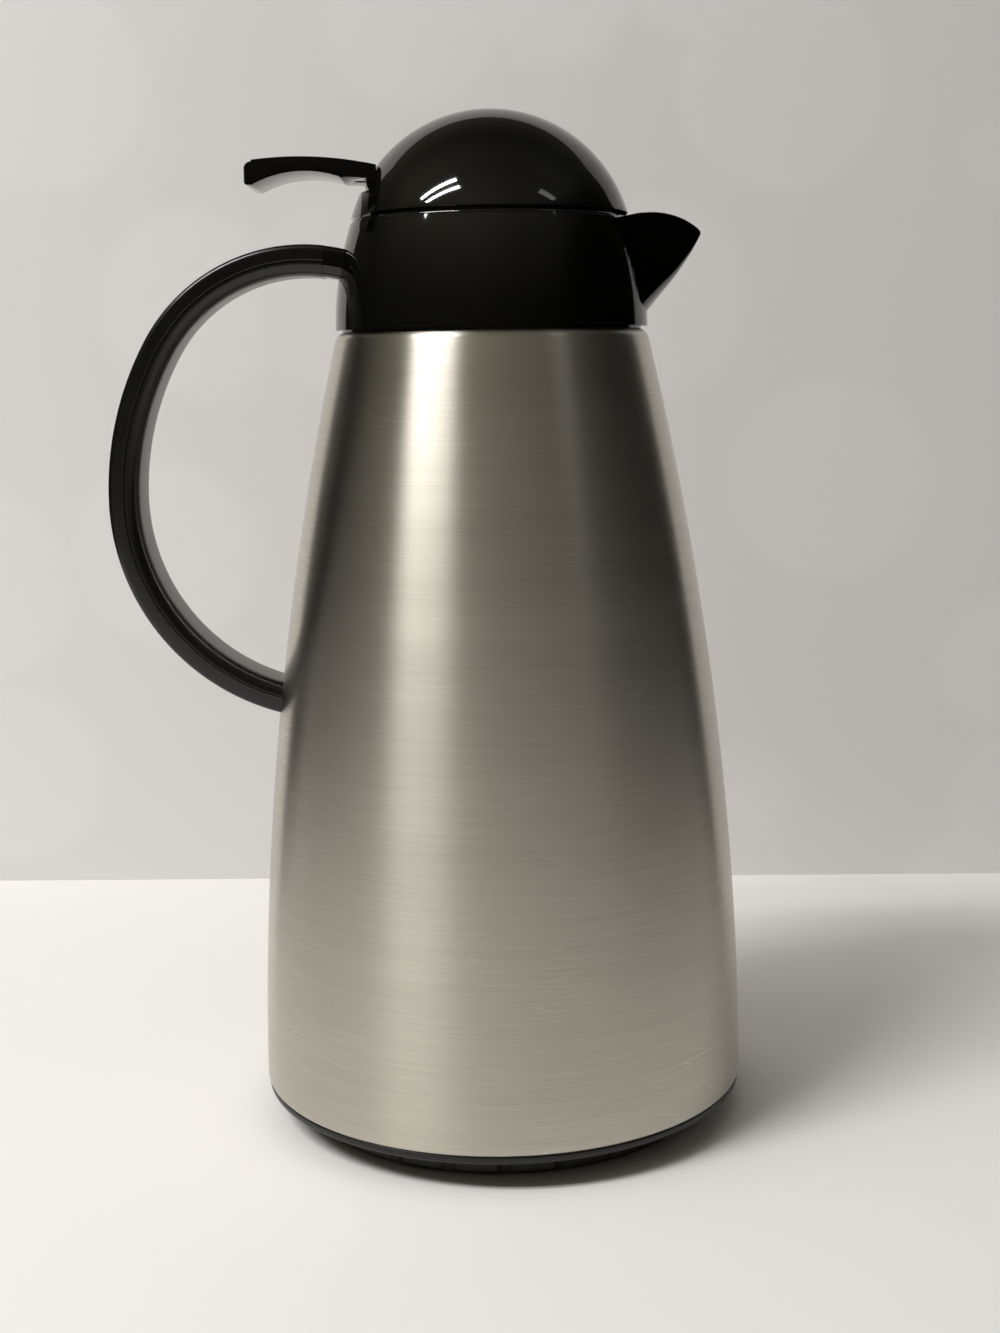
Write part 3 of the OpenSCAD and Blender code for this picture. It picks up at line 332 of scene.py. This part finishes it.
def piece(bm, name, *nodes, sharp=38):
    """Turns a bmesh into a shown piece in the place of its CAD nodes, with their body, slot and finish."""
    for face in bm.faces:
        face.smooth = True
    for edge in bm.edges:
        edge.smooth = len(edge.link_faces) == 2 and edge.calc_face_angle(0) < math.radians(sharp)
    mesh = bpy.data.meshes.new(name)
    bm.to_mesh(mesh)
    bm.free()
    obj = bpy.data.objects.new(name, mesh)
    scene.collection.objects.link(obj)
    slot = NODE_SLOT[nodes[0]]
    mesh.materials.append(SLOT_FINISH[slot])
    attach(obj, NODE_BODY[nodes[0]])
    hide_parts(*nodes)
    return obj


def as_cutter(bm, name):
    """A helper object for a change of form; it isn't shown, and combine removes it."""
    mesh = bpy.data.meshes.new(name)
    bm.to_mesh(mesh)
    bm.free()
    obj = bpy.data.objects.new(name, mesh)
    scene.collection.objects.link(obj)
    return obj


def round_cutter(name, low_r, high_r, height, place, segments):
    """A closed cone or cylinder in mm, about the origin and then set in place by a matrix."""
    bm = bmesh.new()
    bmesh.ops.create_cone(bm, cap_ends=True, segments=segments, radius1=low_r * MM, radius2=high_r * MM,
                          depth=height * MM, matrix=place)
    return as_cutter(bm, name)


def combine(obj, other, operation):
    """Joins another form to a piece, or takes it out of it, for good."""
    change = obj.modifiers.new("change", "BOOLEAN")
    change.operation = operation
    change.solver = "EXACT"
    change.object = other
    bpy.context.view_layer.update()
    result = bpy.data.meshes.new_from_object(obj.evaluated_get(bpy.context.evaluated_depsgraph_get()))
    obj.modifiers.remove(change)
    obj.data = result
    bpy.data.objects.remove(other)


def sharpen(obj, sharp):
    """Marks smooth faces and sharp edges again after a change of form."""
    bm = bmesh.new()
    bm.from_mesh(obj.data)
    bmesh.ops.remove_doubles(bm, verts=bm.verts, dist=2e-6)
    for face in bm.faces:
        face.smooth = True
        face.material_index = 0
    for edge in bm.edges:
        edge.smooth = len(edge.link_faces) == 2 and edge.calc_face_angle(0) < math.radians(sharp)
    bm.to_mesh(obj.data)
    bm.free()


# ---------- steel bell ----------

def bell_profile():
    """The sheet's section: hem, lower corner, great arc, roll and top hole, then the inside back down."""
    foot, top = [], []
    for inset, corner, roll in ((0.0, 0.8, SHELL_ROLL), (SHEET, 0.5, SHELL_ROLL - SHEET)):
        z0, z1 = SHELL_FOOT + inset + corner, SHELL_TOP - inset - roll
        foot_x = BELL_X + math.sqrt((BELL_R - inset - corner) ** 2 - z0 * z0)
        top_x = BELL_X + math.sqrt((BELL_R - inset - roll) ** 2 - z1 * z1)
        lean = math.degrees(math.asin(z1 / (BELL_R - inset - roll)))
        foot.append(arc(foot_x, z0, corner, -90, 0.7, 5))
        top.append(arc(top_x, z1, roll, lean, 90, 10))
    heights = [SHELL_FOOT + 3 + (SHELL_TOP - SHELL_ROLL - SHELL_FOOT - 5) * i / 60 for i in range(61)]
    outside = [(bell_r_at(z), z) for z in heights]
    inside = [(bell_r_at(z, SHEET), z) for z in reversed(heights[::4])]
    hem_r = BASE_R - HEM
    return ([(hem_r, SHELL_FOOT)] + foot[0] + outside + top[0] + [(SHELL_HOLE_R, SHELL_TOP)]
            + [(SHELL_HOLE_R, SHELL_TOP - SHEET)] + top[1][::-1] + inside + foot[1][::-1]
            + [(hem_r, SHELL_FOOT + SHEET)])


piece(spun(bell_profile(), 256), "brushed_bell", "outer_shell")

# ---------- base ----------

ring_profile = (
    [(RING_BORE, RING_FOOT)]
    + arc(RING_R - 0.8, RING_FOOT + 0.8, 0.8, -90, 0, 6)
    + arc(RING_R - 0.8, SHELL_FOOT - 0.8, 0.8, 0, 90, 6)
    + [(CLIP_OUT_R, SHELL_FOOT), (CLIP_OUT_R, CLIP_TOP), (CLIP_IN_R, CLIP_TOP), (CLIP_IN_R, SHELL_FOOT),
       (LEDGE_R, SHELL_FOOT), (LEDGE_R, RING_TOP), (RING_BORE, RING_TOP)]
)
piece(spun(ring_profile, 256), "rim_of_base", "base_ring")

# ---------- dome ----------

def dome_profile():
    """Half section of the dome: ball, seam edge, lip skirt and the hollow under it."""
    seam_angle = math.degrees(math.asin((SEAM - DOME_Z) / DOME_R))
    inner_r = DOME_R - DOME_WALL
    lip_top = SEAM + LIP_ROOT
    inner_angle = math.degrees(math.asin((lip_top - DOME_Z) / inner_r))
    ball = arc(0, DOME_Z, DOME_R, 90, seam_angle + 0.9, 64)
    hollow = arc(0, DOME_Z, inner_r, inner_angle, 90, 40)
    ball[0], hollow[-1] = (0, DOME_Z + DOME_R), (0, DOME_Z + inner_r)
    lip_in = LIP_R - LIP_WALL
    return (ball + [(COLLAR_TOP_R - 0.1, SEAM + 0.25), (COLLAR_TOP_R - 0.5, SEAM), (LIP_R, SEAM), (LIP_R, SEAM - LIP_H),
                    (lip_in, SEAM - LIP_H), (lip_in, lip_top)] + hollow)


dome_mesh = spun(dome_profile(), 192, closed=False)
kept = bmesh.ops.bisect_plane(dome_mesh, geom=dome_mesh.verts[:] + dome_mesh.edges[:] + dome_mesh.faces[:],
                              plane_co=(CUT_X * MM, 0, 0), plane_no=(1, 0, 0), clear_inner=True)
rim = [e for e in dome_mesh.edges if len(e.link_faces) == 1]
bmesh.ops.triangle_fill(dome_mesh, edges=rim, use_beauty=True)
bmesh.ops.recalc_face_normals(dome_mesh, faces=dome_mesh.faces)
dome = piece(dome_mesh, "dome_cap", "lid_dome")

# Room for the knuckles round the hinge pin
along_pin = Matrix.Translation((PIN_X * MM, 0, PIN_Z * MM)) @ Matrix.Rotation(math.pi / 2, 4, "X")
combine(dome, round_cutter("pin_room", PIN_ROOM_R, PIN_ROOM_R, PIN_ROOM_W, along_pin, 48), "DIFFERENCE")
sharpen(dome, 30)

# ---------- handle ----------

def hoop(section, name, node):
    """A closed section (distance out from the arcs' back, across) spun along the three arcs of the hoop."""
    # Each arc's centre, its sweep in degrees and its steps
    lower = [((-HANDLE_REACH + HANDLE_LOW_R, SIDE_CZ), LOW_SWEEP, 40)]
    upper = [((SIDE_CX, SIDE_CZ), -HANDLE_SIDE_ANGLE, 16),
             ((TOP_CX, TOP_CZ), -(180 - HANDLE_SIDE_ANGLE - HOOP_END), 40)]
    bm = bmesh.new()

    def ring_at_side():
        verts = [bm.verts.new(((-HANDLE_REACH + depth) * MM, y * MM, SIDE_CZ * MM)) for depth, y in section]
        return verts + [bm.edges.new(pair) for pair in zip(verts, verts[1:] + verts[:1])]

    # Down from the widest point, then up and over from the same place
    for path in (lower, upper):
        ring = ring_at_side()
        for (cx, cz), sweep, steps in path:
            made = bmesh.ops.spin(bm, geom=ring, cent=(cx * MM, 0, cz * MM), axis=(0, -1, 0),
                                  angle=math.radians(sweep), steps=steps)
            ring = made["geom_last"]
        bmesh.ops.contextual_create(bm, geom=[g for g in ring if isinstance(g, bmesh.types.BMEdge)])
    bmesh.ops.remove_doubles(bm, verts=bm.verts, dist=1e-7)
    bmesh.ops.recalc_face_normals(bm, faces=bm.faces)
    piece(bm, name, node)


def mirrored_section(half):
    """A section given on its +Y side, from back to front, and its mirror image."""
    return half + [(depth, -y) for depth, y in reversed(half)]


def back_round(half, fit=0.0):
    """The round between the handle's back and its side."""
    return arc(BACK_ROUND + fit, half - BACK_ROUND, BACK_ROUND, 90, 180, 8)[::-1]


def grip_round(half, back):
    """The larger round between the side and the grip face."""
    return arc(back - GRIP_ROUND, half - GRIP_ROUND, GRIP_ROUND, 90, 0, 12)


outer_half = back_round(HANDLE_HALF) + [(HANDLE_OUTER_T - JOINT_BEVEL, HANDLE_HALF),
                                        (HANDLE_OUTER_T, HANDLE_HALF - JOINT_BEVEL)]
grip_half = HANDLE_HALF - GRIP_STEP
inner_half = ([(HANDLE_OUTER_T, grip_half - JOINT_BEVEL), (HANDLE_OUTER_T + JOINT_BEVEL, grip_half)]
              + grip_round(grip_half, HANDLE_OUTER_T + HANDLE_INNER_T))
hoop(mirrored_section(outer_half), "hoop_outer", "handle_outer")
hoop(mirrored_section(inner_half), "hoop_inner", "handle_inner")

# ---------- collar with its spout and the handle's socket ----------

def at_station(stations, x):
    """Height of a smooth line through a few stations (x, z), by straight steps."""
    for (x0, z0), (x1, z1) in zip(stations, stations[1:]):
        if x <= x1:
            return z0 + (z1 - z0) * (x - x0) / (x1 - x0)
    return stations[-1][1]


# Lower and upper line of the spout in side view, as stations (x, z)
KEEL = [(33, 218.0), (38, 225.0), (43.8, 232.4), (47.6, 237.0), (52.2, 242.4), (56.4, 248.4),
        (58.2, 251.6), (59.4, 253.9)]
RIM = [(33, 257.0), (38, 258.2), (41, 258.9), (45, 259.3), (48.4, 259.2), (51.4, 258.7), (54.4, 257.8),
       (56.7, 256.7), (58.3, 255.7), (59.4, 254.6)]
SPOUT_REACH, SPOUT_NOSE = 59.4, 1.4
# Half width of the spout and the place where it is measured; its walls and its floor
SPOUT_HALF, SPOUT_HALF_X = 18.6, 38
SPOUT_WALL, SPOUT_FLOOR = 2.0, 2.6


def spout_half(x, inset=0.0):
    """Half width of the beak: a V in plan with a round nose."""
    nose_x = SPOUT_REACH - SPOUT_NOSE
    if x > nose_x:
        return math.sqrt(max(SPOUT_NOSE**2 - (x - nose_x) ** 2, 0.01))
    return SPOUT_NOSE + (SPOUT_HALF - SPOUT_NOSE) * (nose_x - x) / (nose_x - SPOUT_HALF_X) - inset


def lofted(rings):
    """A closed solid through rings of points, drawn one after another and joined."""
    bm = bmesh.new()
    loops = []
    for ring in rings:
        verts = [bm.verts.new([c * MM for c in p]) for p in ring]
        loops.append([bm.edges.new(pair) for pair in zip(verts, verts[1:] + verts[:1])])
    for low, high in zip(loops, loops[1:]):
        bmesh.ops.bridge_loops(bm, edges=low + high)
    for loop in (loops[0], loops[-1]):
        bmesh.ops.contextual_create(bm, geom=loop)
    bmesh.ops.recalc_face_normals(bm, faces=bm.faces)
    return bm


def beak_ring(x):
    """Outer section of the beak: round keel, upright walls, small round on the rim."""
    half, rim = spout_half(x), at_station(RIM, x)
    keel = at_station(KEEL, x)
    waist = min(keel + 0.5 * half, rim - 0.9)
    under = [(x, -half * math.cos(math.radians(a)), waist - (waist - keel) * math.sin(math.radians(a)))
             for a in range(0, 181, 9)]
    lip = min(0.5, half / 2)
    one_side = [(half, rim - lip), (half - 0.15 * lip, rim - 0.5 * lip), (half - 0.5 * lip, rim - 0.15 * lip),
                (half - lip, rim)]
    return under + [(x, y, z) for y, z in one_side] + [(x, -y, z) for y, z in reversed(one_side)]


def channel_ring(x):
    """Section of the pouring channel: the beak less its wall, open upwards, above the collar's shelf."""
    half = max(spout_half(x, SPOUT_WALL), 0.25)
    keel = at_station(KEEL, x)
    # The cut stays just clear of the shelf, so that no two faces lie in one plane
    floor = max(keel + SPOUT_FLOOR, SHELF + SHELF_T + 0.02)
    waist = max(floor + 0.5, keel + half + SPOUT_FLOOR)
    under = [(x, -half * math.cos(math.radians(a)), max(floor, waist - half * math.sin(math.radians(a))))
             for a in range(0, 181, 9)]
    return under + [(x, half, 268.0), (x, -half, 268.0)]


def collar_profile():
    """Half section of the collar: bow wall, lip, shelf, neck, clamp skirt and shadow groove."""
    top, foot = COLLAR_TOP, SHELL_TOP
    neck_in, neck_out = 28.0, 30.6
    seat, seat_in, skirt_in, skirt_out = foot + 0.4, 23.7, 35.6, 38.1
    outside = [(collar_r_at(z), z) for z in [foot + 0.6 + (top - foot - 1.7) * i / 24 for i in range(25)]]
    lip = arc(COLLAR_TOP_R - 0.92, top - 1.0, 1.0, 10, 90, 8)
    shelf_top = SHELF + SHELF_T
    inside = [(collar_r_at(z, COLLAR_WALL), z) for z in [top - (top - shelf_top) * i / 8 for i in range(9)]]
    below = [(collar_r_at(z, COLLAR_WALL), z) for z in [SHELF - (SHELF - foot - 2) * i / 4 for i in range(5)]]
    return (outside + lip + inside + [(neck_in, shelf_top), (neck_in, seat + 2), (seat_in, seat + 2), (seat_in, seat),
            (neck_out, seat), (neck_out, SHELF)] + below + [(skirt_in, foot + 2), (skirt_in, foot - 12),
            (skirt_out, foot - 12), (skirt_out, foot), (42.4, foot), (42.4, foot + 0.6)])


def socket_mesh():
    """The collar's stub that meets the handle's upper end: the hoop's whole section in one piece."""
    half = HANDLE_HALF - SOCKET_FIT
    one_side = back_round(half, SOCKET_FIT) + grip_round(half, HANDLE_OUTER_T + HANDLE_INNER_T - SOCKET_FIT)
    centre = (TOP_CX * MM, 0, TOP_CZ * MM)
    bm = bmesh.new()
    verts = [bm.verts.new(((TOP_CX - HANDLE_TOP_R + depth) * MM, y * MM, TOP_CZ * MM))
             for depth, y in mirrored_section(one_side)]
    ring = verts + [bm.edges.new(pair) for pair in zip(verts, verts[1:] + verts[:1])]
    turn = Matrix.Rotation(math.radians(180 - SOCKET_FROM), 4, "Y")
    bmesh.ops.rotate(bm, verts=verts, cent=centre, matrix=turn)
    made = bmesh.ops.spin(bm, geom=ring, cent=centre, axis=(0, 1, 0),
                          angle=math.radians(SOCKET_FROM - SOCKET_TO), steps=8)
    for end in (ring, made["geom_last"]):
        bmesh.ops.contextual_create(bm, geom=[g for g in end if isinstance(g, bmesh.types.BMEdge)])
    bmesh.ops.recalc_face_normals(bm, faces=bm.faces)
    return bm


collar = piece(spun(collar_profile(), 192), "collar_head", "collar", sharp=30)
# Even stations along the beak, then closer ones round its nose
beak_xs = [33 + 25 * i / 20 for i in range(21)] + [58.3, 58.7, 59.0, 59.2, 59.34]
channel_xs = [30 + 27.6 * i / 24 for i in range(25)]
beak = as_cutter(lofted([beak_ring(x) for x in beak_xs]), "beak")
# The beak ends inside the collar's wall and 1.5 mm above the steel
inside_wall = round_cutter("inside_wall", 39.9, 38.0, 60, Matrix.Translation((0, 0, 250 * MM)), 96)
combine(beak, inside_wall, "DIFFERENCE")
under_cut = round_cutter("under_cut", 90, 90, 40, Matrix.Translation((0, 0, (SHELL_TOP + 1.5 - 20) * MM)), 64)
combine(beak, under_cut, "DIFFERENCE")
combine(collar, beak, "UNION")
combine(collar, as_cutter(socket_mesh(), "socket"), "UNION")
combine(collar, as_cutter(lofted([channel_ring(x) for x in channel_xs]), "channel"), "DIFFERENCE")
sharpen(collar, 30)

# ---------- pieces that keep the part's own form ----------

lever_mesh = merged_copy("thumb_lever")
for vert in lever_mesh.verts:
    # 0 at the overhang's root, 1 at its tip
    reach = max(0.0, (LEVER_ROOT - vert.co.x / MM) / (LEVER_ROOT - LEVER_TIP))
    vert.co.x += reach * LEVER_DRAW_IN * MM
    vert.co.z += reach**2 * LEVER_DRAW_UP * MM
round_edges(lever_mesh, LEVER_ROUND, lambda p: p.x < LEVER_ROOT)
piece(lever_mesh, "lever_thumb", "thumb_lever", sharp=32)

for name, node in (("cap_of_base", "base_cap"), ("stopper_moulding", "stopper_body"), ("plate_of_lid", "lid_plate"),
                   ("plug_moulding", "seal_plug"), ("nut_clamp", "clamp_ring"), ("spring_wire", "torsion_spring"),
                   ("flask_outside", "liner_outer_wall"), ("flask_inside", "liner_inner_wall"),
                   ("pin_of_hinge", "hinge_pin"), ("screws_handle", "handle_screws"), ("screws_lever", "lever_screws"),
                   ("pad_of_foot", "foot_pad"), ("cup_cushion", "liner_cushion"), ("gasket_neck", "neck_gasket"),
                   ("gasket_stopper", "stopper_gasket"), ("seal_of_plug", "plug_seal"),
                   ("pads_spacer", "liner_spacers")):
    piece(merged_copy(node), name, node)

# ---------- table, wall, light and camera ----------

def stage_plane(name, corners, mat):
    """A flat board of the stage; its front is the side from which the corners run anticlockwise."""
    bm = bmesh.new()
    bm.faces.new([bm.verts.new(c) for c in corners])
    mesh = bpy.data.meshes.new(name)
    bm.to_mesh(mesh)
    bm.free()
    mesh.materials.append(mat)
    obj = bpy.data.objects.new(name, mesh)
    scene.collection.objects.link(obj)


def plain_surface(name, colour, spot_colour, spots_per_m):
    """Matt painted board with very soft round blotches, as on a photo backdrop."""
    mat, tree, place, out = new_material(name)
    cells = add(tree, "TexVoronoi", {"Vector": place, "Scale": spots_per_m})
    disc = add(tree, "MapRange", {"Value": cells.outputs["Distance"], "From Min": 0.42, "From Max": 0.5,
                                  "To Min": 1.0, "To Max": 0.0})
    tint = add(tree, "MixRGB", {"Fac": disc.outputs[0], "Color1": linear(colour), "Color2": linear(spot_colour)})
    shader = add(tree, "BsdfPrincipled", {"Base Color": tint.outputs[0], "Roughness": 0.7, "Specular IOR Level": 0.2})
    # Seen from its back the board is clear, so that it never hides the carafe in a view from behind
    behind = add(tree, "Math", {0: add(tree, "NewGeometry").outputs["Backfacing"],
                                1: add(tree, "LightPath").outputs["Is Camera Ray"]}, operation="MULTIPLY")
    clear = add(tree, "BsdfTransparent")
    mix = add(tree, "MixShader", {"Fac": behind.outputs[0], 1: shader.outputs[0], 2: clear.outputs[0]})
    tree.links.new(mix.outputs[0], out.inputs["Surface"])
    return mat


TABLE = plain_surface("board_table", "#edebe8", "#edebe8", 3.0)
WALL = plain_surface("board_wall", "#dedcda", "#e2e0df", 11.0)
# A photo board just wider than the view stands behind; past its ends the room is dim
BOARD_LEFT, BOARD_RIGHT, BOARD_H, BOARD_LEAN = -0.31, 0.33, 0.55, -0.032


def board_y(x):
    return 0.233 + BOARD_LEAN * x


TABLE_LEFT, TABLE_RIGHT, TABLE_NEAR = -0.65, 0.6, -1.2
stage_plane("table_top", [(TABLE_LEFT, TABLE_NEAR, 0), (TABLE_RIGHT, TABLE_NEAR, 0),
                          (TABLE_RIGHT, board_y(TABLE_RIGHT), 0), (TABLE_LEFT, board_y(TABLE_LEFT), 0)], TABLE)
left_y, right_y = board_y(BOARD_LEFT), board_y(BOARD_RIGHT)
stage_plane("back_wall", [(BOARD_LEFT, left_y, 0), (BOARD_RIGHT, right_y, 0),
                          (BOARD_RIGHT, right_y, BOARD_H), (BOARD_LEFT, left_y, BOARD_H)], WALL)


def lamp(name, place, size, power, target=None, in_reflections=True):
    """A soft rectangle of light; without a target it hangs level and shines down."""
    data = bpy.data.lights.new(name, "AREA")
    data.shape = "RECTANGLE"
    data.size, data.size_y = size
    data.energy = power
    obj = bpy.data.objects.new(name, data)
    scene.collection.objects.link(obj)
    obj.location = place
    if target:
        obj.rotation_euler = (Vector(target) - Vector(place)).to_track_quat("-Z", "Y").to_euler()
    obj.visible_camera = False
    obj.visible_glossy = in_reflections


# Twin tubes of a ceiling light on the left: a double streak on the dome, one tall bright band on the steel
lamp("tube_near", (-1.02, -0.87, 1.5), (0.95, 0.08), 15.0)
lamp("tube_far", (-1.02, -0.65, 1.5), (0.95, 0.08), 18.0)
# One more, dim, on the right
lamp("tube_right", (1.25, -0.8, 1.5), (0.5, 0.16), 0.5)
# Light that the white ceiling sends down, too even to show in the gloss
lamp("ceiling", (-0.35, -0.35, 1.9), (1.6, 1.2), 5.0, (0, 0, 0), in_reflections=False)
# Light on the board behind, from the left
lamp("board_wash", (-0.9, -0.35, 1.1), (0.6, 0.6), 2.6, (-0.22, 0.23, 0.1), in_reflections=False)


def room_light():
    """The dim room in front: fairly even ahead and to the left, black to the right, paler overhead."""
    world = bpy.data.worlds.new("room")
    scene.world = world
    world.use_nodes = True
    tree = world.node_tree
    tree.nodes.clear()
    axes = add(tree, "SeparateXYZ", {"Vector": add(tree, "TexCoord").outputs["Generated"]})
    across = add(tree, "MapRange", {"Value": axes.outputs["X"], "From Min": -1.0, "From Max": 1.0})
    # The two ends of each ramp come first, then the stops between them
    side = add(tree, "ValToRGB", {"Fac": across.outputs[0]}, stops=[
        (0.0, (0.10, 0.096, 0.08, 1.0)), (1.0, grey(0.006)), (0.06, (0.15, 0.143, 0.11, 1.0)),
        (0.2, (0.18, 0.17, 0.13, 1.0)), (0.4, (0.17, 0.16, 0.13, 1.0)), (0.65, (0.11, 0.105, 0.085, 1.0)),
        (0.86, (0.08, 0.078, 0.07, 1.0)), (0.95, grey(0.011))])
    rise = add(tree, "ValToRGB", {"Fac": axes.outputs["Z"]}, stops=[
        (0.0, grey(0.3)), (1.0, grey(0.9)), (0.2, grey(0.45)), (0.45, grey(1.1)), (0.65, grey(1.8)), (0.85, grey(1.4))])
    ahead = add(tree, "MapRange", {"Value": axes.outputs["Y"], "From Min": -0.1, "From Max": 0.25,
                                   "To Min": 1.0, "To Max": 0.4})
    level = add(tree, "MixRGB", {"Fac": 1.0, "Color1": side.outputs[0], "Color2": rise.outputs[0]},
                blend_type="MULTIPLY")
    room = add(tree, "MixRGB", {"Fac": 1.0, "Color1": level.outputs[0], "Color2": ahead.outputs[0]},
               blend_type="MULTIPLY")
    lit = add(tree, "Background", {"Color": room.outputs[0], "Strength": 1.0})
    seen = add(tree, "Background", {"Color": linear("#d8d6d3"), "Strength": 1.0})
    path = add(tree, "LightPath")
    mix = add(tree, "MixShader", {"Fac": path.outputs["Is Camera Ray"], 1: lit.outputs[0], 2: seen.outputs[0]})
    add(tree, "OutputWorld", {"Surface": mix.outputs[0]})


room_light()

camera_data = bpy.data.cameras.new("camera")
camera_data.lens = 1800 / 1333 * 36
camera_data.sensor_width = 36
camera = bpy.data.objects.new("camera", camera_data)
scene.collection.objects.link(camera)
camera.matrix_world = (
    Matrix.Translation((0.8 * MM, -520.7 * MM, 218.1 * MM))
    @ Matrix.Rotation(math.radians(90 - 9.47), 4, "X")
    @ Matrix.Rotation(math.radians(-0.94), 4, "Z")
)
scene.camera = camera
scene.view_settings.view_transform = "Standard"
